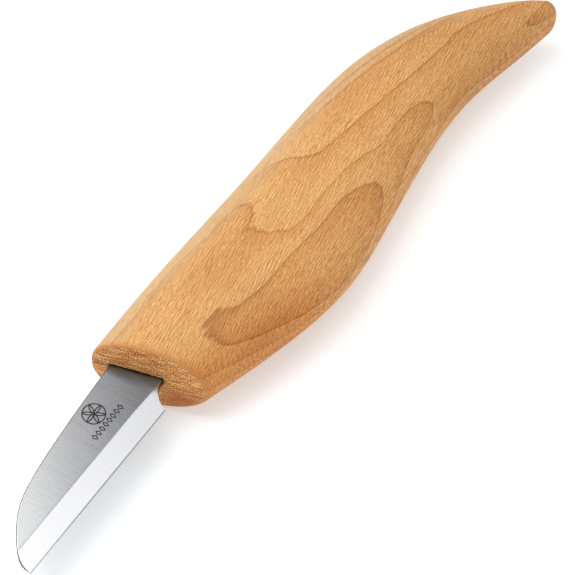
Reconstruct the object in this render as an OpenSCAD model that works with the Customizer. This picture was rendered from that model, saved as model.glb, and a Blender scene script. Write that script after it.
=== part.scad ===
// Whittling knife: a fixed steel blade glued into a one-piece wooden handle.
// The knife lies on its side. X runs from the blade's tip to the butt of the handle,
// Y from the cutting edge to the spine, and Z across the knife's thickness.
// The origin is under the middle of the whole knife, on the face that it rests on.

/* [Blade] */
// Length of the straight cutting edge
edge_length = 44.5; // [40:0.5:48]
// Thickness of the steel
blade_thickness = 2; // [1.6:0.1:2.6]
// Width of the ground bevel beside the edge
bevel_width = 4.6; // [4:0.1:6]
// Radius of the notch between the edge and the handle
choil_radius = 5; // [4.6:0.1:5.4]

/* [Tang] */
// Length of the tang from the blade's heel to its end inside the handle
tang_length = 62; // [45:1:70]
// Width of the tang at its end
tang_end_width = 6; // [4:0.5:7]
// Thickness of the adhesive around the tang
glue_gap = 0.2; // [0.1:0.05:0.4]
// How far the adhesive stops short of the handle's front face
glue_recess = 0.2; // [0.1:0.1:1]

/* [Handle] */
// Length of the handle
handle_length = 122.5; // [115:0.5:135]
// Width of the handle from its spine side to its belly
handle_width = 31.6; // [29:0.2:34]
// Thickness of the handle between its two flat faces
handle_thickness = 20; // [17:0.5:23]
// How far the rounded sides would rise above the flat faces
flat_depth = 0.4; // [0.2:0.05:0.6]
// How far the rounded edge of the front face reaches back
nose_depth = 0.8; // [0.5:0.1:1.5]
// How far the rounded edge of the front face reaches in
nose_inset = 1.2; // [0.8:0.1:2]

/* [Hidden] */

steel = "silver";
ash_wood = "burlywood";
epoxy = "peru";

// Control points of the blade's spine from the tip, as [x, y]
spine_rail = [[0, 0], [0.2, 3.7], [7.5, 9.2], [13.5, 12], [32.5, 14], [50, 15]];
spine_steps = 8;

// Control stations of the handle from its front to its butt:
// [spine x, spine y, belly x, belly y, half thickness, squareness at spine, squareness at belly]
stations = [
    [46, 18.85, 53, -4.8, 9.3, 2.3, 2],
    [67.5, 19, 69, -9.9, 9.8, 2.5, 2],
    [95, 17.5, 88.5, -13.9, 10, 2.4, 2.1],
    [117, 17.5, 104.5, -11.4, 9.9, 2.4, 2.1],
    [133.5, 16.5, 125, -7.9, 9, 2.3, 2.1],
    [151, 10, 140.5, -6.9, 7.5, 2.2, 2.1],
    [165.5, -3, 154.5, -9.9, 5.8, 2.3, 2.1],
    [168, -8.4, 165, -11.2, 4.5, 3, 2.6]
];
station_steps = 8;
ring_sides = 56;
nose_steps = 4;
butt_steps = 5;
// Angle at which the rounded butt starts, how far it reaches past the last station,
// and the part of a step that its small end face leaves out
butt_angle = 30;
butt_reach = 2;
// How far the butt's rings lean towards the spine as they shrink, as a share of their half width
butt_lean = 0.35;
butt_end_step = 0.4;

// A point at t on a cubic B-spline that starts and ends on its first and last control points
function spline(points, t) =
    let (
        last = len(points) - 1,
        i = min(floor(t), last - 1),
        f = t - i,
        before = i == 0 ? 2 * points[0] - points[1] : points[i - 1],
        after = i == last - 1 ? 2 * points[last] - points[last - 1] : points[i + 2]
    )
    (pow(1 - f, 3) * before + (3 * pow(f, 3) - 6 * pow(f, 2) + 4) * points[i]
        + (1 + 3 * f + 3 * pow(f, 2) - 3 * pow(f, 3)) * points[i + 1] + pow(f, 3) * after) / 6;

function unit(v) = v / norm(v);
function spine_side(ring) = [ring[0], ring[1]];
function belly_side(ring) = [ring[2], ring[3]];

// The handle's front face crosses it at a slant: directions along it and square to it
face_along = unit(spine_side(stations[0]) - belly_side(stations[0]));
face_back = [face_along.y, -face_along.x];
spine_run = unit(spine_side(stations[1]) - spine_side(stations[0]));
belly_run = unit(belly_side(stations[1]) - belly_side(stations[0]));

// A ring ahead of the first station, reaching forward along both sides and drawn in all round
function nose_ring(forward, inset) =
    let (
        first = stations[0],
        s = spine_side(first) - spine_run * forward / (spine_run * face_back) - face_along * inset,
        b = belly_side(first) - belly_run * forward / (belly_run * face_back) + face_along * inset
    )
    [s.x, s.y, b.x, b.y, first[4] - inset, first[5], first[6]];

// A ring behind the last station, moved square to that station and shrunk by a factor
function butt_ring(reach, factor) =
    let (
        last = stations[len(stations) - 1],
        arm = (spine_side(last) - belly_side(last)) / 2,
        back = unit([arm.y, -arm.x]),
        middle = belly_side(last) + arm * (1 + butt_lean * (1 - factor)) + back * reach,
        s = middle + arm * factor,
        b = middle - arm * factor
    )
    [s.x, s.y, b.x, b.y, last[4] * factor, last[5], last[6]];

rings = concat(
    [for (i = [nose_steps:-1:1])
        let (turn = 90 * i / nose_steps)
        nose_ring(nose_depth * sin(turn), nose_inset * (1 - cos(turn)))],
    [for (i = [0:station_steps * (len(stations) - 1)]) spline(stations, i / station_steps)],
    [for (i = [1:butt_steps])
        let (turn = butt_angle + (90 - butt_angle) * i / (butt_steps + butt_end_step))
        butt_ring(butt_reach * (sin(turn) - sin(butt_angle)) / (1 - sin(butt_angle)),
            cos(turn) / cos(butt_angle))]
);

// A point of a ring: an oval whose two ends have their own squareness
function ring_point(ring, angle) =
    let (
        c = cos(angle),
        s = sin(angle),
        power = 2 / (c >= 0 ? ring[5] : ring[6]),
        middle = (spine_side(ring) + belly_side(ring)) / 2,
        place = middle + (spine_side(ring) - middle) * sign(c) * pow(abs(c), power)
    )
    [place.x, place.y, ring[4] * sign(s) * pow(abs(s), power)];

drawn_points = [for (ring = rings) for (i = [0:ring_sides - 1]) ring_point(ring, 360 * i / ring_sides)];

// The drawn handle is stretched to the stated sizes from its front end and the blade's middle line
tang_low = 4.3;
tang_middle = 9.5;
front_x = min([for (p = drawn_points) p.x]);
stretch = [
    handle_length / (max([for (p = drawn_points) p.x]) - front_x),
    handle_width / (max([for (p = drawn_points) p.y]) - min([for (p = drawn_points) p.y])),
    (handle_thickness / 2 + flat_depth) / max([for (p = drawn_points) p.z])
];
function stretched(p) = [
    front_x + (p.x - front_x) * stretch.x,
    tang_middle + (p.y - tang_middle) * stretch.y,
    p.z * stretch.z
];
handle_points = [for (p = drawn_points) stretched(p)];

// Middle of the whole knife in plan
knife_middle = [
    (front_x + handle_length) / 2,
    (max([for (p = handle_points) p.y]) + min([for (p = handle_points) p.y])) / 2
];

// The round notch's middle, the end of the plate's full width and the start of the tang's taper
heel_x = edge_length + sqrt(pow(choil_radius, 2) - pow(tang_low - choil_radius, 2));
plate_back = 50;
taper_start = 54;
tang_end = edge_length + tang_length;
notch_step = 6;
// How far cutting shapes reach past the solid that they cut
below_edge = 1;
slot_front = 40;
far_reach = 200;

module placed() {
    translate([-knife_middle.x, -knife_middle.y, handle_thickness / 2]) children();
}

// The blade's plate from above: the spine, the tapered tang and the round notch at the heel
module plate_outline() {
    notch_start = 180 + asin((below_edge + tang_low - choil_radius) / choil_radius);
    polygon(concat(
        [[0, -below_edge]],
        [for (i = [0:spine_steps * (len(spine_rail) - 1)]) spline(spine_rail, i / spine_steps)],
        [[tang_end, tang_middle + tang_end_width / 2], [tang_end, tang_middle - tang_end_width / 2]],
        [[taper_start, tang_low]],
        [for (a = [90:notch_step:notch_start])
            [heel_x + choil_radius * cos(a), tang_low - choil_radius + choil_radius * sin(a)]],
        [[edge_length, -below_edge]]
    ));
}

// A bar along X with the blade's section: flat sides and a bevel down to the edge on both
module bevelled_bar(length) {
    half = blade_thickness / 2;
    rotate([90, 0, 90]) linear_extrude(length)
        polygon([
            [0, 0], [bevel_width, -half], [far_reach, -half], [far_reach, half], [bevel_width, half]
        ]);
}

module blade_solid() {
    intersection() {
        translate([0, 0, -blade_thickness]) linear_extrude(2 * blade_thickness) plate_outline();
        union() {
            translate([-below_edge, 0, 0]) bevelled_bar(plate_back + below_edge);
            translate([plate_back, 0, -blade_thickness / 2])
                cube([far_reach, far_reach, blade_thickness]);
        }
    }
}

// The slot that holds the tang, open at the front
module tang_slot() {
    half = blade_thickness / 2 + glue_gap;
    low = tang_low - glue_gap;
    high = spine_rail[len(spine_rail) - 1].y + glue_gap;
    end = tang_end + glue_gap;
    end_half = tang_end_width / 2 + glue_gap;
    translate([0, 0, -half]) linear_extrude(2 * half)
        polygon([
            [slot_front, low], [taper_start, low], [end, tang_middle - end_half],
            [end, tang_middle + end_half], [plate_back, high], [slot_front, high]
        ]);
}

// Everything more than a given depth behind the handle's front face
module behind_face(depth) {
    corner = stretched([rings[0][2], rings[0][3], 0]);
    other = stretched([rings[0][0], rings[0][1], 0]);
    slant = atan2(other.y - corner.y, other.x - corner.x) - 90;
    translate([corner.x, corner.y, 0]) rotate([0, 0, slant])
        translate([depth, -far_reach / 2, -far_reach / 2]) cube(far_reach);
}

module blade() {
    color(steel) placed() blade_solid();
}

module handle() {
    ring_count = len(rings);
    far = ring_count * ring_sides;
    color(ash_wood) placed() difference() {
        intersection() {
            polyhedron(handle_points, concat(
                [[for (i = [0:ring_sides - 1]) i]],
                [[for (i = [1:ring_sides]) far - i]],
                [for (r = [0:ring_count - 2]) for (i = [0:ring_sides - 1])
                    let (a = r * ring_sides, j = (i + 1) % ring_sides)
                    [a + i, a + ring_sides + i, a + j]],
                [for (r = [0:ring_count - 2]) for (i = [0:ring_sides - 1])
                    let (a = r * ring_sides, j = (i + 1) % ring_sides)
                    [a + j, a + ring_sides + i, a + ring_sides + j]]
            ));
            translate([0, -far_reach / 2, -handle_thickness / 2])
                cube([far_reach, far_reach, handle_thickness]);
        }
        tang_slot();
    }
}

module tang_adhesive() {
    color(epoxy) placed() difference() {
        intersection() {
            tang_slot();
            behind_face(glue_recess);
        }
        blade_solid();
    }
}

blade();
handle();
tang_adhesive();
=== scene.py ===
"""Looks of the whittling knife: oiled hardwood handle, satin blade with a bright bevel, soft studio."""

import math

import bmesh
import bpy
import numpy as np
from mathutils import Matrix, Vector


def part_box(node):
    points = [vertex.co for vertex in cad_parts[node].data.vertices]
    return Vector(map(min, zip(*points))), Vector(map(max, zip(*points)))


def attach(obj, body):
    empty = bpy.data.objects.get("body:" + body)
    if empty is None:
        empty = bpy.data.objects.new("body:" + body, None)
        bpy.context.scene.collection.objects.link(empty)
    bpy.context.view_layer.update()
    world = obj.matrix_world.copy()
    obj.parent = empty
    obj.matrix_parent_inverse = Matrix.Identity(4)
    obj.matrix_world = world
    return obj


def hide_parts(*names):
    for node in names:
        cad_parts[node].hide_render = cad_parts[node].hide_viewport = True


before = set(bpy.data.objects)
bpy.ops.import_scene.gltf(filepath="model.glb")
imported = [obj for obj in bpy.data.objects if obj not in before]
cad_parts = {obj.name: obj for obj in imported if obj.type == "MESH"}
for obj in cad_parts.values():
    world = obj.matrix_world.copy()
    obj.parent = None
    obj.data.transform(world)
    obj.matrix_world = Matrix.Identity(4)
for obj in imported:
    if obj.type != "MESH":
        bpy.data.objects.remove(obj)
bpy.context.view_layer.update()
MM = 0.001
QUARTER = math.pi / 2

# ------------------------------------------------------------------ drawn coordinates
# The knife is drawn in mm: x from the blade's tip, y from the cutting edge, z from the blade's middle.
BLADE_LOW, BLADE_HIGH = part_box("blade")
HANDLE_LOW, HANDLE_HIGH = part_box("handle")
ORIGIN = Vector((BLADE_LOW.x, BLADE_LOW.y, (HANDLE_LOW.z + HANDLE_HIGH.z) / 2))


def placed(points):
    """Drawn points in mm to the frame's metres."""
    return np.asarray(points, float) * MM + np.array(ORIGIN)


def from_frame(corner):
    """A point of the frame in drawn mm."""
    return (np.array(corner) - np.array(ORIGIN)) / MM


def new_mesh(name, points, faces):
    """A mesh piece, from points in the frame's metres."""
    mesh = bpy.data.meshes.new(name)
    mesh.from_pydata([tuple(p) for p in points], [], faces)
    mesh.validate()
    mesh.update()
    piece = bpy.data.objects.new(name, mesh)
    bpy.context.scene.collection.objects.link(piece)
    return piece


def smooth(piece, crease_degrees):
    """Smooth shading, apart from edges that turn more sharply than the crease."""
    piece.data.shade_smooth()
    piece.data.set_sharp_from_angle(angle=math.radians(crease_degrees))


def unit(v):
    return v / np.linalg.norm(v)


def spline(points, t):
    """A point at t on a cubic B-spline that starts and ends on its first and last control points."""
    p = [2 * points[0] - points[1], *points, 2 * points[-1] - points[-2]]
    i = min(int(t), len(points) - 2)
    f = t - i
    weights = ((1 - f) ** 3, 3 * f**3 - 6 * f**2 + 4, 1 + 3 * f + 3 * f**2 - 3 * f**3, f**3)
    return sum(w * q for w, q in zip(weights, p[i : i + 4])) / 6


# ------------------------------------------------------------------ handle
FLAT_DEPTH = 0.4
NOSE_DEPTH, NOSE_INSET, NOSE_SWEEP = 0.8, 1.3, math.radians(74)
BUTT_ANGLE, BUTT_REACH, BUTT_LEAN = math.radians(30), 2.0, 0.35
RING_SIDES = 128
STEPS, NOSE_STEPS, BUTT_STEPS, FACE_STEPS, MOUTH_STEPS = 14, 9, 14, 8, 3
# The butt's last ring stops this share of a step before it would shrink to a point
BUTT_STOP = 0.3
HANDLE_CREASE = 14
# spine x, spine y, belly x, belly y, half thickness, squareness at spine, squareness at belly
STATIONS = np.array(
    [
        [46, 18.85, 53, -4.8, 9.3, 2.3, 2],
        [67.5, 19, 69, -9.9, 9.8, 2.5, 2],
        [95, 17.5, 88.5, -13.9, 10, 2.4, 2.1],
        [117, 17.5, 104.5, -11.4, 9.9, 2.4, 2.1],
        [133.5, 16.5, 125, -7.9, 9, 2.3, 2.1],
        [151, 10, 140.5, -6.9, 7.5, 2.2, 2.1],
        [165.5, -3, 154.5, -9.9, 5.8, 2.3, 2.1],
        [168, -8.4, 165, -11.2, 4.5, 3, 2.6],
    ]
)
# The tang and its slot
PLATE_HALF = (BLADE_HIGH.z - BLADE_LOW.z) / 2 / MM
TANG_LOW, TANG_HIGH, TANG_MIDDLE = 4.3, 15.0, 9.5
GLUE_GAP, MOUTH_LIP = 0.2, 0.15
PLATE_BACK, SLOT_START, TAPER_START = 50.0, 51.0, 54.0
TANG_END, TANG_END_WIDTH = 106.5, 6.0

FIRST, LAST = STATIONS[0], STATIONS[-1]
FACE_ALONG = unit(FIRST[0:2] - FIRST[2:4])
FACE_BACK = np.array([FACE_ALONG[1], -FACE_ALONG[0]])
SPINE_RUN = unit(STATIONS[1][0:2] - FIRST[0:2])
BELLY_RUN = unit(STATIONS[1][2:4] - FIRST[2:4])
RING_TURNS = np.arange(RING_SIDES) * 2 * math.pi / RING_SIDES
RING_COS, RING_SIN = np.cos(RING_TURNS), np.sin(RING_TURNS)


def nose_ring(turn):
    """A ring ahead of the first station, where the sides roll over into the front face."""
    forward, inset = NOSE_DEPTH * math.sin(turn), NOSE_INSET * (1 - math.cos(turn))
    spine = FIRST[0:2] - SPINE_RUN * forward / (SPINE_RUN @ FACE_BACK) - FACE_ALONG * inset
    belly = FIRST[2:4] - BELLY_RUN * forward / (BELLY_RUN @ FACE_BACK) + FACE_ALONG * inset
    return np.array([*spine, *belly, FIRST[4] - inset, FIRST[5], FIRST[6]])


def butt_ring(turn):
    """A ring behind the last station, moved square to it, shrunk, and leaning towards the spine."""
    start = math.sin(BUTT_ANGLE)
    reach = BUTT_REACH * (math.sin(turn) - start) / (1 - start)
    factor = math.cos(turn) / math.cos(BUTT_ANGLE)
    arm = (LAST[0:2] - LAST[2:4]) / 2
    back = unit(np.array([arm[1], -arm[0]]))
    middle = LAST[2:4] + arm * (1 + BUTT_LEAN * (1 - factor)) + back * reach
    ends = (*(middle + arm * factor), *(middle - arm * factor))
    return np.array([*ends, LAST[4] * factor, LAST[5], LAST[6]])


def ring_points(ring):
    """A station's closed outline, a superellipse that is squarer towards its spine."""
    power = 2 / np.where(RING_COS >= 0, ring[5], ring[6])
    middle, arm = (ring[0:2] + ring[2:4]) / 2, (ring[0:2] - ring[2:4]) / 2
    along = np.sign(RING_COS) * np.abs(RING_COS) ** power
    z = ring[4] * np.sign(RING_SIN) * np.abs(RING_SIN) ** power
    return np.column_stack([middle[0] + arm[0] * along, middle[1] + arm[1] * along, z])


def square_loop(start, slant, low, high, half):
    """A rectangular loop of RING_SIDES points in the plane x = start + slant y."""
    k = np.maximum(np.abs(RING_COS), np.abs(RING_SIN))
    y = (low + high) / 2 + RING_COS / k * (high - low) / 2
    return np.column_stack([start + slant * y, y, RING_SIN / k * half])


def stretched_to_box(points):
    """Stretches points so that the handle fills its CAD box, and eases the crown down to its flats."""
    low, high = from_frame(HANDLE_LOW), from_frame(HANDLE_HIGH)
    out = points.copy()
    for axis in (0, 1):
        first, last = points[:, axis].min(), points[:, axis].max()
        out[:, axis] = low[axis] + (points[:, axis] - first) * (high[axis] - low[axis]) / (last - first)
    top = high[2] + FLAT_DEPTH
    z = points[:, 2] * top / np.abs(points[:, 2]).max()
    over = np.maximum(np.abs(z) - (top - 2 * FLAT_DEPTH), 0)
    out[:, 2] = np.sign(z) * (np.abs(z) - over**2 / (4 * FLAT_DEPTH))
    return out


def outer_loops():
    """The handle's outside, from the front face's edge to the butt."""
    nose = [nose_ring(NOSE_SWEEP * k / NOSE_STEPS) for k in range(NOSE_STEPS, 0, -1)]
    body = [spline(STATIONS, k / STEPS) for k in range(STEPS * (len(STATIONS) - 1) + 1)]
    butt_step = (QUARTER - BUTT_ANGLE) / (BUTT_STEPS + BUTT_STOP)
    butt = [butt_ring(BUTT_ANGLE + butt_step * k) for k in range(1, BUTT_STEPS + 1)]
    shape = stretched_to_box(np.vstack([ring_points(ring) for ring in nose + body + butt]))
    return list(shape.reshape(-1, RING_SIDES, 3))


def slot_loops(face_start, slant):
    """The slot, from its closed end to its rounded mouth in the front face x = face_start + slant y."""
    half = PLATE_HALF + GLUE_GAP
    low, high = TANG_LOW - GLUE_GAP, TANG_HIGH + GLUE_GAP
    end_half = TANG_END_WIDTH / 2 + GLUE_GAP
    loops = [
        square_loop(TANG_END + GLUE_GAP, 0, TANG_MIDDLE - end_half, TANG_MIDDLE + end_half, half),
        square_loop(TAPER_START, 0, low, high, half),
        square_loop(SLOT_START, 0, low, high, half),
    ]
    for k in range(MOUTH_STEPS, -1, -1):
        turn = QUARTER * k / MOUTH_STEPS
        out, back = MOUTH_LIP * (1 - math.sin(turn)), MOUTH_LIP * (1 - math.cos(turn))
        loops.append(square_loop(face_start + back, slant, low - out, high + out, half + out))
    return loops


def closed_faces(loops):
    """Quads between neighbouring loops, then a fan at each end, round two points that follow the loops."""
    faces = []
    for a in range(0, (loops - 1) * RING_SIDES, RING_SIDES):
        for i in range(RING_SIDES):
            j = (i + 1) % RING_SIDES
            faces.append((a + i, a + RING_SIDES + i, a + RING_SIDES + j, a + j))
    first_hub = loops * RING_SIDES
    last = first_hub - RING_SIDES
    for i in range(RING_SIDES):
        j = (i + 1) % RING_SIDES
        faces += [(first_hub, i, j), (first_hub + 1, last + j, last + i)]
    return faces


def build_handle():
    """The handle as one closed mesh, and the two ends of its front face."""
    outside = outer_loops()
    # the slot's mouth lies in the front face, whose edge is the first loop
    belly_end, spine_end = outside[0][RING_SIDES // 2], outside[0][0]
    slant = (spine_end[0] - belly_end[0]) / (spine_end[1] - belly_end[1])
    slot = slot_loops(belly_end[0] - belly_end[1] * slant, slant)
    shares = [k / FACE_STEPS for k in range(FACE_STEPS - 1, 0, -1)]
    face = [outside[0] + (slot[-1] - outside[0]) * share for share in shares]
    loops = slot + face + outside
    points = np.vstack([*loops, loops[0].mean(0), loops[-1].mean(0)])
    piece = new_mesh("whittling_handle", placed(points), closed_faces(len(loops)))
    smooth(piece, HANDLE_CREASE)
    return piece, [Vector(end) for end in placed([belly_end, spine_end])]


# ------------------------------------------------------------------ blade
EDGE_LENGTH, BEVEL_WIDTH, CHOIL_RADIUS = 44.5, 4.6, 5.0
SPINE_RAIL = np.array([[0, 0], [0.2, 3.7], [7.5, 9.2], [13.5, 12], [32.5, 14], [50, 15]], float)
CHOIL_X = EDGE_LENGTH + math.sqrt(CHOIL_RADIUS**2 - (TANG_LOW - CHOIL_RADIUS) ** 2)
CHOIL_Y = TANG_LOW - CHOIL_RADIUS
TANG_TIP = from_frame(BLADE_HIGH)[0]
BEVEL_BEND = 38.0
SPINE_ROUNDING = 0.26
MICRO_BEVEL, MICRO_HALF = 0.28, 0.055
GRIND_BLEND = 0.35
BLADE_CREASE = 35
MERGE_DISTANCE = 1e-6
# The spine's curve has this many points to a control point, and its outline takes every tenth
CURVE_POINTS, OUTLINE_STEP = 400, 10
CURVE_TURNS = np.arange(CURVE_POINTS * (len(SPINE_RAIL) - 1) + 1) / CURVE_POINTS
SPINE_CURVE = np.array([spline(SPINE_RAIL, t) for t in CURVE_TURNS])
SPINE_OUTLINE = SPINE_CURVE[::OUTLINE_STEP]
# Columns along the blade: they widen from the tip, then keep to one step, then follow the choil's arc
TIP_STEP, TIP_GROWTH, TIP_COLUMNS = 0.02, 1.25, 23
COLUMN_START, COLUMN_STEP, EDGE_GAP, ARC_GAP = 3.2, 0.6, 0.2, 0.005
CHOIL_DEGREES = np.arange(9, 91, 4.5)
TANG_COLUMNS = (70, 90)
# Rows from the edge to the spine, and the most of the width that each group may take where it is narrow
FINE_ROWS, BEVEL_ROWS, FLAT_ROWS, ROUND_ROWS = 4, 18, 16, 5
FINE_SHARE, GRIND_SHARE, ROUND_SHARE = 0.3, 0.7, 0.6
FINE_MARGIN, GRIND_MARGIN, ROUND_MARGIN = 0.02, 0.4, 0.04
SLOPE_STEP = 0.01


def soft_minimum(a, b, blend):
    """The smaller of two values, rounded where they cross."""
    share = np.clip(0.5 + 0.5 * (b - a) / blend, 0, 1)
    return b + (a - b) * share - blend * share * (1 - share)


def spine_y(x):
    """The blade's upper outline: the spine, and the tang's upper side behind it."""
    if x <= PLATE_BACK:
        return float(np.interp(x, SPINE_OUTLINE[:, 0], SPINE_OUTLINE[:, 1]))
    return float(np.interp(x, [PLATE_BACK, TANG_TIP], [TANG_HIGH, TANG_MIDDLE + TANG_END_WIDTH / 2]))


def edge_y(x):
    """The blade's lower outline: the cutting edge, the choil's arc, and the tang's lower side."""
    if x <= EDGE_LENGTH:
        return 0.0
    if x < CHOIL_X:
        return max(0.0, CHOIL_Y + math.sqrt(max(CHOIL_RADIUS**2 - (x - CHOIL_X) ** 2, 0)))
    return float(np.interp(x, [TAPER_START, TANG_TIP], [TANG_LOW, TANG_MIDDLE - TANG_END_WIDTH / 2]))


def bevel_top(x):
    """Where the bevel meets the flat: it bends down to the top of the choil."""
    share = min(max((x - BEVEL_BEND) / (CHOIL_X - BEVEL_BEND), 0), 1)
    return BEVEL_WIDTH - (BEVEL_WIDTH - TANG_LOW) * share**2 * (3 - 2 * share)


def half_thickness(x, y):
    """The blade's half thickness at x for each y."""
    top = bevel_top(x)
    ground = np.interp(y, [0, MICRO_BEVEL, top], [0, MICRO_HALF, PLATE_HALF])
    rise = (PLATE_HALF - MICRO_HALF) / (top - MICRO_BEVEL)
    ground = np.where(y > top, PLATE_HALF + (y - top) * rise, ground)
    blend = GRIND_BLEND * PLATE_HALF / top
    body = np.where(y > MICRO_BEVEL, soft_minimum(ground, PLATE_HALF, blend), ground)
    if x > PLATE_BACK:
        return body
    # the spine is rounded off, by the distance from its curve
    near = np.array([np.hypot(SPINE_CURVE[:, 0] - x, SPINE_CURVE[:, 1] - v).min() for v in y])
    radius = SPINE_ROUNDING * np.maximum(body, MICRO_HALF) / PLATE_HALF
    short = np.clip(1 - near / radius, 0, 1)
    return body - radius * (1 - np.sqrt(1 - short**2))


def blade_columns():
    """Where the blade is cut across, closer together round the tip and the choil."""
    tip = [TIP_STEP * TIP_GROWTH**k for k in range(TIP_COLUMNS)]
    edge = np.arange(COLUMN_START, EDGE_LENGTH - EDGE_GAP, COLUMN_STEP)
    arc = [CHOIL_X - CHOIL_RADIUS * math.cos(math.radians(a)) for a in CHOIL_DEGREES]
    arc = [x for x in arc if x > EDGE_LENGTH + ARC_GAP]
    return sorted([0.0, *tip, *edge, EDGE_LENGTH, *arc, PLATE_BACK, TAPER_START, *TANG_COLUMNS, TANG_TIP])


def column_points(x):
    """The blade's upper side at x, from its lower outline to its upper one."""
    low, high = edge_y(x), spine_y(x)
    grind = max(min(bevel_top(x) + GRIND_MARGIN, low + (high - low) * GRIND_SHARE), low)
    slope = abs(spine_y(x + SLOPE_STEP) - spine_y(max(x - SLOPE_STEP, 0))) / (2 * SLOPE_STEP)
    crown = high - min(SPINE_ROUNDING * math.hypot(1, slope), (high - grind) * ROUND_SHARE)
    fine = min(MICRO_BEVEL, grind * FINE_SHARE) if low == 0 else low + FINE_MARGIN
    rows = (
        np.linspace(low, fine, FINE_ROWS)[:-1],
        np.linspace(fine, grind, BEVEL_ROWS)[:-1],
        np.linspace(grind, crown - ROUND_MARGIN, FLAT_ROWS),
        np.linspace(crown, high, ROUND_ROWS),
    )
    y = np.concatenate(rows)
    return np.column_stack([np.full(len(y), x), y, half_thickness(x, y)])


def plate_faces(columns, rows):
    """Quads over a plate's upper side, then its lower side, and round its rim."""
    n = columns * rows
    last = n - rows
    faces = []
    for c in range(columns - 1):
        for r in range(rows - 1):
            a, b = c * rows + r, (c + 1) * rows + r
            faces += [(a, b, b + 1, a + 1), (n + a, n + a + 1, n + b + 1, n + b)]
        for a, b in ((c * rows, (c + 1) * rows), ((c + 2) * rows - 1, (c + 1) * rows - 1)):
            faces.append((a, n + a, n + b, b))
    for r in range(rows - 1):
        faces += [(last + r, n + last + r, n + last + r + 1, last + r + 1), (r, r + 1, n + r + 1, n + r)]
    return faces


def build_blade():
    """One closed plate: a spine that falls to the tip, a bevel, and a fine second bevel at the edge."""
    sheet = [column_points(x) for x in blade_columns()]
    side = np.vstack(sheet)
    points = np.vstack([side, side * np.array([1, 1, -1])])
    piece = new_mesh("whittling_blade", placed(points), plate_faces(len(sheet), len(sheet[0])))
    # points that meet, such as those along the cutting edge and at the tip, become one
    work = bmesh.new()
    work.from_mesh(piece.data)
    bmesh.ops.remove_doubles(work, verts=work.verts, dist=MERGE_DISTANCE)
    bmesh.ops.dissolve_degenerate(work, edges=work.edges, dist=MERGE_DISTANCE)
    bmesh.ops.recalc_face_normals(work, faces=work.faces)
    work.to_mesh(piece.data)
    work.free()
    smooth(piece, BLADE_CREASE)
    return piece


# ------------------------------------------------------------------ materials
def linear(value):
    """A channel from 0 to 255 in linear light."""
    v = value / 255
    return v / 12.92 if v <= 0.04045 else ((v + 0.055) / 1.055) ** 2.4


def srgb(r, g, b):
    return linear(r), linear(g), linear(b)


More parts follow.
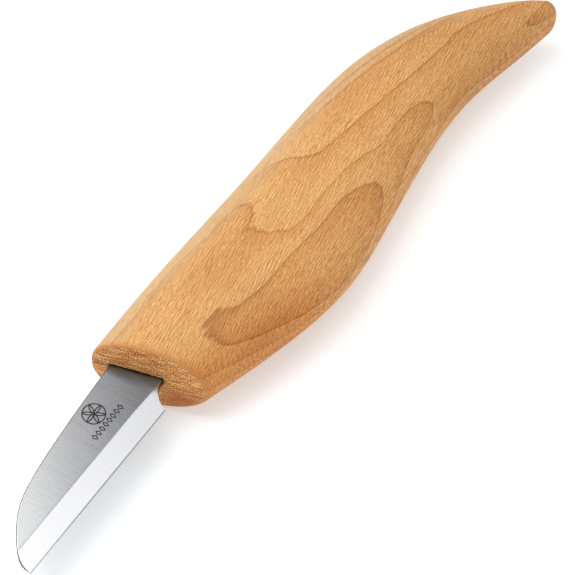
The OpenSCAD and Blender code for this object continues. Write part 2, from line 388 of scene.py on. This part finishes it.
class Nodes:
    """Short calls for building a material's nodes."""

    def __init__(self, name):
        self.material = bpy.data.materials.new(name)
        self.material.use_nodes = True
        self.tree = self.material.node_tree
        self.shader = self.tree.nodes["Principled BSDF"]

    def node(self, kind, inputs=(), **settings):
        made = self.tree.nodes.new(kind)
        for key, value in settings.items():
            setattr(made, key, value)
        for socket, value in dict(inputs).items():
            self.put(made.inputs[socket], value)
        return made

    def put(self, socket, value):
        if isinstance(value, bpy.types.NodeSocket):
            self.tree.links.new(value, socket)
        elif value is not None:
            socket.default_value = value

    def shade(self, **inputs):
        """Sets the shader's own sockets, with their names' spaces as underlines."""
        for name, value in inputs.items():
            self.put(self.shader.inputs[name.replace("_", " ")], value)

    def millimetres(self):
        """The point being shaded, in the frame's mm."""
        place = self.node("ShaderNodeTexCoord").outputs["Object"]
        return self.vector("SCALE", place, scale=1 / MM)

    def facing(self):
        """The parts of the surface's direction."""
        return self.split(self.node("ShaderNodeTexCoord").outputs["Normal"])

    def split(self, vector):
        return self.node("ShaderNodeSeparateXYZ", {0: vector}).outputs

    def math(self, operation, a, b=None, c=None, clamp=False):
        made = self.node("ShaderNodeMath", {0: a, 1: b, 2: c}, operation=operation, use_clamp=clamp)
        return made.outputs[0]

    def vector(self, operation, a, b=None, scale=None):
        inputs = {0: a} if b is None else {0: a, 1: b}
        made = self.node("ShaderNodeVectorMath", inputs, operation=operation)
        if scale is not None:
            self.put(made.inputs["Scale"], scale)
        return made.outputs["Value" if operation in ("DOT_PRODUCT", "LENGTH", "DISTANCE") else "Vector"]

    def noise(self, place, scales, detail=0.0, roughness=0.5):
        """Noise that is finer the larger its scale along each axis."""
        vector = self.vector("MULTIPLY", place, scales)
        inputs = {"Vector": vector, "Scale": 1.0, "Detail": detail, "Roughness": roughness}
        return self.node("ShaderNodeTexNoise", inputs).outputs["Fac"]

    def waves(self, place, scales, frequency, straightness, direction):
        """Noise of one wavelength, whose waves run mostly in one direction."""
        vector = self.vector("MULTIPLY", place, scales)
        inputs = {"Vector": vector, "Scale": 1.0, "Frequency": frequency, "Anisotropy": straightness}
        made = self.node("ShaderNodeTexGabor", inputs, gabor_type="3D")
        # two sockets are called Orientation, and the last one is for 3D
        made.inputs[-1].default_value = direction
        return made.outputs["Value"]

    def weighted(self, *shares):
        """Values added up, each times its share."""
        (first, share), *others = shares
        total = self.math("MULTIPLY", first, share)
        for value, share in others:
            total = self.math("MULTIPLY_ADD", value, share, total)
        return total

    def ramp(self, value, *stops):
        """A colour or a grey level that runs through (place, colour or level) stops."""
        made = self.node("ShaderNodeValToRGB", {0: value})
        elements = made.color_ramp.elements
        while len(elements) < len(stops):
            elements.new(0.5)
        for element, (place, level) in zip(elements, stops):
            element.position = place
            element.color = (*(level if isinstance(level, tuple) else (level,) * 3), 1)
        return made.outputs["Color"]

    def mix(self, factor, a, b, blend="MIX"):
        made = self.node("ShaderNodeMix", data_type="RGBA", blend_type=blend)
        self.put(made.inputs[0], factor)
        for socket, value in ((made.inputs[6], a), (made.inputs[7], b)):
            self.put(socket, (*value, 1) if isinstance(value, tuple) else value)
        return made.outputs[2]

    def tint(self, tone, mask, amount, colour, blend="MIX"):
        """A tone with a colour laid over it, as much as the mask and the amount say."""
        return self.mix(self.math("MULTIPLY", mask, amount), tone, colour, blend)

    def spread(self, value, low, high, out_low=0.0, out_high=1.0, smooth=True):
        made = self.node(
            "ShaderNodeMapRange",
            {0: value, 1: low, 2: high, 3: out_low, 4: out_high},
            interpolation_type="SMOOTHSTEP" if smooth else "LINEAR",
        )
        return made.outputs[0]

    def bump(self, height, distance, strength):
        made = self.node("ShaderNodeBump", {"Height": height, "Distance": distance, "Strength": strength})
        return made.outputs["Normal"]


# ------------------------------------------------------------------ wood
# How the growth rings bend: their height falls by this much for each power of x and y, in 50 mm steps
RING_UNIT = 50.0
RING_SHAPE = {
    (1, 0): -4.5,
    (0, 1): -17.0,
    (2, 0): 1.4,
    (1, 1): -7.0,
    (0, 2): 51.0,
    (3, 0): 1.0,
    (2, 1): -5.0,
    (1, 2): 5.0,
    (3, 1): 5.5,
}
# Swirls in the grain, in mm: centre x and y, reach along x and y, and how far the rings lift there
SWIRLS = (
    (4, 11, 26, 12, 3.2),
    (43, -7.5, 14, 7, 1.25),
    (-18, 11, 14, 8, 1.2),
    (-8, -4, 26, 6, -0.9),
    (8, -5, 10, 6, -0.5),
    (-30, -1, 12, 10, -0.6),
    (-35, 3, 11, 9, -0.6),
    (-3, 0, 9, 6, 0.5),
    (80, -11, 22, 14, -3.2),
)
# Where the wide rings in the middle of the board start, the width of the others, and how much they waver
WIDE_RINGS = (14.2, 17.3, 20.1, 21.85, 25.2)
RING_WIDTH, RING_WAVER = 1.2, 0.35
# The grain's short dashes: their scales, their waves' frequency, how straight those run, and which way
DASH_SCALES, DASH_WAVES, DASH_STRAIGHTNESS = (0.30, 1.25, 1.25), 1.9, 0.7
DASH_ACROSS = (0.0, 0.8, 0.6)
# Where painted shade darkens the front face's chin, in mm along y and z: it lies out of the light that
# passes the blade
CHIN_TOP, CHIN_LOW = 4.0, -1.5
CHIN_BACK, CHIN_FRONT = 13.0, 4.0
# Where the painted shade on the belly's front part fades out, and where the tail and the darker belly
# start, in mm
BELLY_FADE, TAIL_FADE, BELLY_START = (-12.0, 8.0), (40.0, 66.0), (-2.0, -12.0)
# The end grain reaches this far from the front face, and the painted shade along the rolled edge this far
END_DEPTH, ROLL_DEPTH = (0.03, 0.07), (0.10, 1.7)
# Colours: those called stains darken what is under them
PALE_WOOD, DARK_WOOD = srgb(235, 186, 123), srgb(187, 131, 72)
SPRING_STAIN, BLOTCH_STAIN = srgb(234, 213, 192), srgb(228, 208, 186)
BELLY_PAINTED_SHADE, TAIL_STAIN = srgb(247, 222, 196), srgb(243, 240, 238)
RING_LINE, OPEN_PORE, SPINE_PAINTED_SHEEN = srgb(146, 88, 42), srgb(140, 84, 38), srgb(200, 167, 124)
CHIN_SHADE, ROLLED_EDGE_SHADE = srgb(160, 84, 36), srgb(190, 112, 56)
END_HOLE, END_DARK = srgb(116, 60, 22), srgb(188, 118, 56)
END_MIDDLE, END_PALE = srgb(220, 152, 84), srgb(252, 204, 138)


def ring_phase(n, place):
    """How far a point is through its growth ring, 0 where the spring wood starts to 1, and its height."""
    x, y, height = n.split(place)
    x, y = (n.math("DIVIDE", part, RING_UNIT) for part in (x, y))
    powers = {0: {1: x}, 1: {1: y}}
    for axis, first in ((0, x), (1, y)):
        for k in (2, 3):
            powers[axis][k] = n.math("MULTIPLY", powers[axis][k - 1], first)
    for (i, j), amount in RING_SHAPE.items():
        factors = [powers[axis][k] for axis, k in ((0, i), (1, j)) if k]
        term = factors[0] if len(factors) == 1 else n.math("MULTIPLY", *factors)
        height = n.math("MULTIPLY_ADD", term, amount, height)
    for x0, y0, reach_x, reach_y, lift in SWIRLS:
        plan = n.vector("MULTIPLY", place, (1 / reach_x, 1 / reach_y, 0.0))
        away = n.vector("DISTANCE", plan, (x0 / reach_x, y0 / reach_y, 0.0))
        height = n.math("ADD", height, n.spread(away, 0.0, 1.0, lift, 0.0))
    slow = n.noise(place, (0.045, 0.10, 0.10), 1.0)
    quick = n.noise(place, (0.12, 0.80, 0.80), 2.0, 0.6)
    for waver in (slow, quick):
        height = n.math("MULTIPLY_ADD", n.math("SUBTRACT", waver, 0.5), RING_WAVER, height)
    below = n.math("SUBTRACT", n.math("MINIMUM", height, WIDE_RINGS[0]), WIDE_RINGS[0])
    count = n.math("DIVIDE", below, RING_WIDTH)
    for low, high in zip(WIDE_RINGS, WIDE_RINGS[1:]):
        count = n.math("ADD", count, n.spread(height, low, high, smooth=False))
    return n.math("FRACT", count), height


def ring_tone(n, place, tone):
    """The tone with its growth rings, and where the spring wood is."""
    y = n.split(place)[1]
    phase, height = ring_phase(n, place)
    blotch = n.noise(place, (-0.05, -0.12, 0.12), 2.0)
    # each ring starts dark and pales; the oil takes unevenly, so some rings show less
    spring = n.ramp(phase, (0.0, 1.0), (0.10, 0.75), (0.45, 0.3), (1.0, 0.0))
    spring = n.math("MULTIPLY", spring, n.spread(blotch, 0.35, 0.65, 0.8, 1.0))
    spring = n.math("MULTIPLY", spring, n.spread(y, *BELLY_START, 0.85, 1.0))
    tone = n.mix(spring, tone, SPRING_STAIN, "MULTIPLY")
    line = n.ramp(phase, (0.0, 1.0), (0.06, 0.0), (0.975, 0.0), (1.0, 1.0))
    tone = n.tint(tone, line, 0.48, RING_LINE)
    # the sides cut through narrow rings, which show as fine parallel lines
    narrow = n.ramp(phase, (0.0, 1.0), (0.35, 0.0), (0.80, 0.0), (1.0, 1.0))
    narrow = n.math("MULTIPLY", narrow, n.math("LESS_THAN", height, WIDE_RINGS[0]))
    tone = n.tint(tone, narrow, 0.60, RING_LINE)
    return n.tint(tone, n.spread(blotch, 0.45, 0.75), 0.28, BLOTCH_STAIN, "MULTIPLY"), spring


def tone_with_painted_side_light(n, place, tone):
    """The tone with painted light: painted shade on the belly's side and a paler, duller painted sheen on
    the spine's side; darker towards the tail.
    """
    x, facing_y = n.split(place)[0], n.facing()[1]
    # painted shade: surfaces that face the belly's side are darker, most towards the front
    belly_painted_shade = n.math("MULTIPLY", n.spread(facing_y, -0.25, -0.85), n.spread(x, *BELLY_FADE, 1.0, 0.25))
    tone = n.mix(belly_painted_shade, tone, BELLY_PAINTED_SHADE, "MULTIPLY")
    tone = n.mix(n.spread(x, *TAIL_FADE), tone, TAIL_STAIN, "MULTIPLY")
    # painted sheen: surfaces that face the spine's side turn paler and duller
    return n.mix(n.spread(facing_y, 0.15, 0.75, 0.0, 0.75), tone, SPINE_PAINTED_SHEEN)


def end_grain_tone(n, place):
    """End grain with thin rings and round pores, with painted shade at the chin, and darker where the
    pores are.
    """
    y, z = n.split(place)[1:3]
    layers = n.noise(place, (0.0, 0.25, 1.5), 1.0, 0.6)
    holes = n.noise(place, (0.0, 3.6, 3.4))
    level = n.weighted((holes, 0.57), (layers, 0.43))
    tone = n.ramp(level, (0.34, END_HOLE), (0.46, END_DARK), (0.54, END_MIDDLE), (0.64, END_PALE))
    chin = n.math("MULTIPLY", n.spread(y, CHIN_TOP, CHIN_LOW), n.spread(z, CHIN_BACK, CHIN_FRONT))
    return n.tint(tone, chin, 0.75, CHIN_SHADE), holes


def wood_material(front):
    """Oiled hardwood, with end grain on the front face, whose two ends are given."""
    n = Nodes("oiled_hardwood")
    place = n.millimetres()
    # short fine dashes and flecks along the handle, over longer fibres
    dashes = n.waves(place, DASH_SCALES, DASH_WAVES, DASH_STRAIGHTNESS, DASH_ACROSS)
    flecks = n.noise(place, (1.6, 4.8, 4.8))
    fibre = n.noise(place, (0.05, 2.0, 2.0), 2.0, 0.6)
    grain = n.weighted((fibre, 0.18), (flecks, 0.28), (dashes, 0.54))
    tone = n.mix(n.spread(grain, 0.31, 0.69), PALE_WOOD, DARK_WOOD)
    tone, spring = ring_tone(n, place, tone)
    tone = tone_with_painted_side_light(n, place, tone)
    # dark open pores, more of them in the spring wood
    pore = n.noise(place, (0.40, 4.6, 4.6))
    limit = n.math("MULTIPLY_ADD", spring, -0.06, 0.70)
    pore = n.spread(n.math("SUBTRACT", pore, limit), -0.03, 0.05)
    tone = n.tint(tone, pore, 0.36, OPEN_PORE)
    # the front face, by the distance from its plane
    across = Vector((front[1].y - front[0].y, front[0].x - front[1].x, 0)).normalized()
    along = n.vector("DOT_PRODUCT", place, tuple(across))
    off_face = n.math("ABSOLUTE", n.math("SUBTRACT", along, across.dot(front[0]) / MM))
    end_grain = n.spread(off_face, *END_DEPTH, 1.0, 0.0)
    end_tone, holes = end_grain_tone(n, place)
    # painted shade along the rolled edge, where the sides turn into the front face
    tone = n.tint(tone, n.spread(off_face, *ROLL_DEPTH, 1.0, 0.0), 0.42, ROLLED_EDGE_SHADE)
    tone = n.mix(end_grain, tone, end_tone)
    relief = n.math("SUBTRACT", 1.0, n.math("MAXIMUM", pore, n.math("MULTIPLY", end_grain, holes)))
    roughness = n.spread(fibre, 0.2, 0.8, 0.50, 0.64)
    n.shade(Base_Color=tone, Roughness=roughness, Normal=n.bump(relief, 0.00005, 0.6))
    n.shade(Specular_IOR_Level=0.2)
    return n.material


# ------------------------------------------------------------------ steel
# The etched mark on the blade's upper side: a compass-drawn rosette and a row of lozenges, in drawn mm
MARK_X, MARK_Y, MARK_RADIUS, MARK_LINE, MARK_BLUR = 35.4, 10.7, 2.3, 0.13, 0.04
PETALS = 6
ROW_LEFT, ROW_COUNT, ROW_STEP, ROW_Y = 31.2, 8, 1.2, 7.4
LOZENGE_HALF, LOZENGE_RISE = 0.42, 1.5
# The front face's line in drawn mm, x + FACE_SLANT y = FACE_START
FACE_SLANT, FACE_START = 0.304, 51.6
# The flat's painted shade grows along x plus this slant times y
FLAT_SHADE_SLANT, FLAT_SHADE_START, FLAT_SHADE_END = -2.0, -6.0, 38.0
# Painted shade near the handle: the flat takes a cool cast, then darkens, over these distances before the
# face
COOL_REACH, DARK_REACH = (-6.0, -2.8), (-1.9, -0.3)
FLAT_TIP, FLAT_HEEL = srgb(158, 159, 160), srgb(112, 114, 118)
BEVEL_TIP, BEVEL_HEEL = srgb(196, 197, 198), srgb(176, 177, 179)
HONED_TIP, HONED_HEEL = srgb(150, 151, 153), srgb(122, 123, 125)
BRIGHT_STREAK, DARK_STREAK = srgb(240, 240, 241), srgb(96, 97, 100)
COOL_SHADE, SLOT_SHADE = srgb(130, 152, 174), srgb(50, 62, 72)
CUT_STEEL, ETCHED = srgb(78, 79, 82), srgb(20, 20, 22)


def ink(n, distance):
    """1 on a line of the mark, given the distance from its middle."""
    low, high = MARK_LINE - MARK_BLUR, MARK_LINE + MARK_BLUR
    return n.spread(n.math("ABSOLUTE", distance), low, high, 1.0, 0.0)


def rosette(n, here):
    """A ring and its petals, round the middle of the coordinates."""
    x, y = n.split(here)[0:2]
    radius = n.vector("LENGTH", here)
    ring = ink(n, n.math("SUBTRACT", radius, MARK_RADIUS))
    # folded into half a petal, every arc of the rosette is the same circle
    turn = n.math("PINGPONG", n.math("ARCTAN2", y, x), math.pi / PETALS)
    along = n.math("MULTIPLY", radius, n.math("COSINE", turn))
    across = n.math("MULTIPLY", radius, n.math("SINE", turn))
    folded = n.node("ShaderNodeCombineXYZ", {0: along, 1: across}).outputs[0]
    petal_turn = math.tau / PETALS
    centre = (MARK_RADIUS * math.cos(petal_turn), -MARK_RADIUS * math.sin(petal_turn), 0.0)
    petal = ink(n, n.math("SUBTRACT", n.vector("DISTANCE", folded, centre), MARK_RADIUS))
    petal = n.math("MULTIPLY", petal, n.math("LESS_THAN", radius, MARK_RADIUS))
    return n.math("MAXIMUM", ring, petal)


def lozenge_row(n, here):
    """Lozenges side by side, in coordinates round the rosette's middle."""
    x, y = n.split(here)[0:2]
    step = n.math("PINGPONG", n.math("SUBTRACT", x, ROW_LEFT - MARK_X), ROW_STEP / 2)
    rise = n.math("ABSOLUTE", n.math("SUBTRACT", y, ROW_Y - MARK_Y))
    reach = n.math("ADD", step, n.math("DIVIDE", rise, LOZENGE_RISE))
    lozenge = ink(n, n.math("SUBTRACT", reach, LOZENGE_HALF))
    row_middle = ROW_LEFT + (ROW_COUNT - 1) * ROW_STEP / 2 - MARK_X
    off_middle = n.math("ABSOLUTE", n.math("SUBTRACT", x, row_middle))
    return n.math("MULTIPLY", lozenge, n.math("LESS_THAN", off_middle, ROW_COUNT * ROW_STEP / 2))


def etched_mark(n, drawn):
    """1 on the mark's lines, 0 elsewhere."""
    here = n.vector("SUBTRACT", n.vector("MULTIPLY", drawn, (1.0, 1.0, 0.0)), (MARK_X, MARK_Y, 0.0))
    mark = n.math("MAXIMUM", rosette(n, here), lozenge_row(n, here))
    upper_side = n.math("GREATER_THAN", n.split(drawn)[2], PLATE_HALF / 2)
    return n.math("MULTIPLY", mark, upper_side)


def steel_material():
    """Satin steel with a brighter bevel, dark cut edges and an etched mark, and painted shade that darkens
    it towards the handle.
    """
    n = Nodes("satin_steel")
    place = n.millimetres()
    drawn = n.vector("SUBTRACT", place, tuple(np.array(ORIGIN) / MM))
    x, y = n.split(drawn)[0:2]
    facing_x, facing_y, facing_z = n.facing()
    upright = n.math("ABSOLUTE", facing_z)
    ground = n.spread(upright, 0.988, 0.997, 1.0, 0.0)
    honed = n.math("LESS_THAN", y, MICRO_BEVEL)
    rim = n.math("MAXIMUM", facing_y, n.math("MULTIPLY", facing_x, -1.0))
    cut_edge = n.math("MAXIMUM", n.spread(upright, 0.80, 0.93, 1.0, 0.0), n.spread(rim, 0.08, 0.34))
    # painted shade: the satin flat is darker towards the handle and the grind line, and the bevel towards
    # the heel
    flat_shade = n.math("MULTIPLY_ADD", y, FLAT_SHADE_SLANT, x)
    flat = n.mix(n.spread(flat_shade, FLAT_SHADE_START, FLAT_SHADE_END, smooth=False), FLAT_TIP, FLAT_HEEL)
    bevel = n.mix(n.spread(x, 0.0, EDGE_LENGTH, smooth=False), BEVEL_TIP, BEVEL_HEEL)
    tone = n.mix(ground, flat, bevel)
    # the grinding marks run across the blade
    streaks = n.noise(place, (5.0, 0.10, 0.10), 2.0, 0.6)
    fine = n.noise(place, (16.0, 0.25, 0.25), 2.0, 0.6)
    grain = n.weighted((streaks, 0.6), (fine, 0.4))
    tone = n.tint(tone, n.spread(grain, 0.35, 0.65), 0.035, BRIGHT_STREAK)
    tone = n.tint(tone, n.spread(grain, 0.55, 0.35), 0.045, DARK_STREAK)
    # painted shade: the fine second bevel is darker towards the heel too
    tone = n.mix(honed, tone, n.mix(n.spread(x, 0.0, EDGE_LENGTH / 2), HONED_TIP, HONED_HEEL))
    # painted shade: the flat takes a cooler cast near the handle, and darkens right at the slot, where the
    # handle shades it
    before_face = n.math("MULTIPLY_ADD", y, FACE_SLANT, n.math("SUBTRACT", x, FACE_START))
    on_flat = n.math("SUBTRACT", 0.9, ground, clamp=True)
    tone = n.mix(n.math("MULTIPLY", n.spread(before_face, *COOL_REACH), on_flat), tone, COOL_SHADE)
    tone = n.mix(n.spread(before_face, *DARK_REACH), tone, SLOT_SHADE)
    tone = n.mix(cut_edge, tone, CUT_STEEL)
    mark = etched_mark(n, drawn)
    tone = n.tint(tone, mark, 0.92, ETCHED)
    rough = n.spread(grain, 0.3, 0.7, 0.25, 0.29)
    for mask, change in ((ground, -0.06), (honed, -0.12), (cut_edge, 0.15), (mark, 0.3)):
        rough = n.math("MULTIPLY_ADD", mask, change, rough)
    relief = n.math("SUBTRACT", n.math("MULTIPLY", grain, 0.3), mark)
    n.shade(Base_Color=tone, Roughness=rough, Normal=n.bump(relief, 0.00001, 0.3), Metallic=1.0)
    return n.material


# ------------------------------------------------------------------ epoxy and floor
def epoxy_material():
    """Dark cloudy epoxy round the tang."""
    n = Nodes("dark_epoxy")
    cloud = n.noise(n.millimetres(), (0.8, 0.8, 0.8), 3.0, 0.6)
    tone = n.mix(cloud, srgb(52, 32, 18), srgb(84, 54, 30))
    n.shade(Base_Color=tone, Roughness=n.spread(cloud, 0.3, 0.7, 0.28, 0.4))
    n.shade(Normal=n.bump(cloud, 0.00005, 0.5))
    return n.material


# Where the floor starts to brighten and stops, in metres from the knife, and how much brighter it glows
NEAR_FLOOR, FAR_FLOOR, FAR_GLOW = 0.20, 0.90, 3.0
FLOOR_COLOUR, FLOOR_GLOW = (0.868, 0.887, 0.898), (0.312, 0.333, 0.343)


def floor_material():
    """A pale floor that glows a little, painted light that keeps shadows light."""
    n = Nodes("pale_floor")
    n.shade(Base_Color=(*FLOOR_COLOUR, 1), Roughness=0.9, Specular_IOR_Level=0.1)
    # far from the knife the floor glows brighter, painted light so that it meets the white of the room
    # without a line
    away = n.vector("LENGTH", n.node("ShaderNodeTexCoord").outputs["Object"])
    glow = n.spread(away, NEAR_FLOOR, FAR_FLOOR, 1.0, FAR_GLOW)
    n.shade(Emission_Color=(*FLOOR_GLOW, 1), Emission_Strength=glow)
    return n.material


# ------------------------------------------------------------------ the knife
handle, handle_front = build_handle()
handle.data.materials.append(wood_material(handle_front))
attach(handle, "root")
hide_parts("handle")

blade = build_blade()
blade.data.materials.append(steel_material())
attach(blade, "root")
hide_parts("blade")

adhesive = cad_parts["tang_adhesive"]
adhesive.data.materials.clear()
adhesive.data.materials.append(epoxy_material())

# ------------------------------------------------------------------ studio
FLOOR_RADIUS, FLOOR_SIDES, FLOOR_DROP = 3.0, 128, 0.00002


def disc(name, radius, z, sides):
    """A flat round piece."""
    turns = [math.tau * k / sides for k in range(sides)]
    points = [(radius * math.cos(turn), radius * math.sin(turn), z) for turn in turns]
    return new_mesh(name, points, [tuple(range(sides))])


floor = disc("studio_floor", FLOOR_RADIUS, -FLOOR_DROP, FLOOR_SIDES)
floor.data.materials.append(floor_material())


def soft_box(name, place, aim, width, height, power):
    """A soft rectangular studio light that the camera doesn't see."""
    lamp = bpy.data.lights.new(name, "AREA")
    lamp.shape, lamp.size, lamp.size_y = "RECTANGLE", width, height
    lamp.energy = power
    piece = bpy.data.objects.new(name, lamp)
    piece.location = place
    piece.rotation_euler = (Vector(aim) - Vector(place)).to_track_quat("-Z", "Y").to_euler()
    piece.visible_camera = False
    bpy.context.scene.collection.objects.link(piece)


# a far key light from the spine side, and two close panels that the steel mirrors
KEY_PLACE, KEY_SIZE, KEY_POWER = (-0.05, 0.30, 0.90), 0.60, 3.0
PANEL_HEIGHT = 0.26
FLAT_PANEL, FLAT_PANEL_SIZE, FLAT_POWER = (-0.075, 0.20), (0.26, 0.26), 0.40
BEVEL_PANEL, BEVEL_PANEL_SIZE, BEVEL_POWER = (0.02, -0.03), (0.18, 0.12), 0.09
soft_box("key_light", KEY_PLACE, (0, 0, 0), KEY_SIZE, KEY_SIZE, KEY_POWER)
soft_box("flat_panel", (*FLAT_PANEL, PANEL_HEIGHT), (*FLAT_PANEL, 0.0), *FLAT_PANEL_SIZE, FLAT_POWER)
soft_box("bevel_panel", (*BEVEL_PANEL, PANEL_HEIGHT), (*BEVEL_PANEL, 0.0), *BEVEL_PANEL_SIZE, BEVEL_POWER)

# the room is white low down, and greyer overhead
AIR_LOW, AIR_HIGH = 0.20, 0.55
WHITE_AIR, GREY_AIR = 1.0, 0.50
world = bpy.data.worlds.new("studio_air")
world.use_nodes = True
air = world.node_tree
look = air.nodes.new("ShaderNodeTexCoord")
split = air.nodes.new("ShaderNodeSeparateXYZ")
fade = air.nodes.new("ShaderNodeMapRange")
fade.interpolation_type = "SMOOTHSTEP"
for socket, value in zip(fade.inputs[1:5], (AIR_LOW, AIR_HIGH, WHITE_AIR, GREY_AIR)):
    socket.default_value = value
air.links.new(look.outputs["Generated"], split.inputs[0])
air.links.new(split.outputs[2], fade.inputs[0])
air.links.new(fade.outputs[0], air.nodes["Background"].inputs[1])
air.nodes["Background"].inputs[0].default_value = (1, 1, 1, 1)
bpy.context.scene.world = world

# ------------------------------------------------------------------ camera
VIEW_TURN, VIEW_HEIGHT = math.radians(55.4), math.radians(57)
VIEW_DISTANCE, LENS, SENSOR = 1.0, 316.6, 36.0
AIM = Vector((-0.00257, -0.00633, 0.01))
level = math.cos(VIEW_HEIGHT)
back = Vector((-math.sin(VIEW_TURN) * level, -math.cos(VIEW_TURN) * level, math.sin(VIEW_HEIGHT)))
lens = bpy.data.cameras.new("camera")
lens.lens, lens.sensor_width = LENS, SENSOR
lens.clip_start, lens.clip_end = 0.01, 20
camera = bpy.data.objects.new("camera", lens)
camera.location = AIM + back * VIEW_DISTANCE
camera.rotation_euler = (-back).to_track_quat("-Z", "Y").to_euler()
bpy.context.scene.collection.objects.link(camera)
bpy.context.scene.camera = camera

bpy.context.scene.view_settings.view_transform = "Standard"
bpy.context.scene.view_settings.look = "None"


bpy.context.view_layer.update()
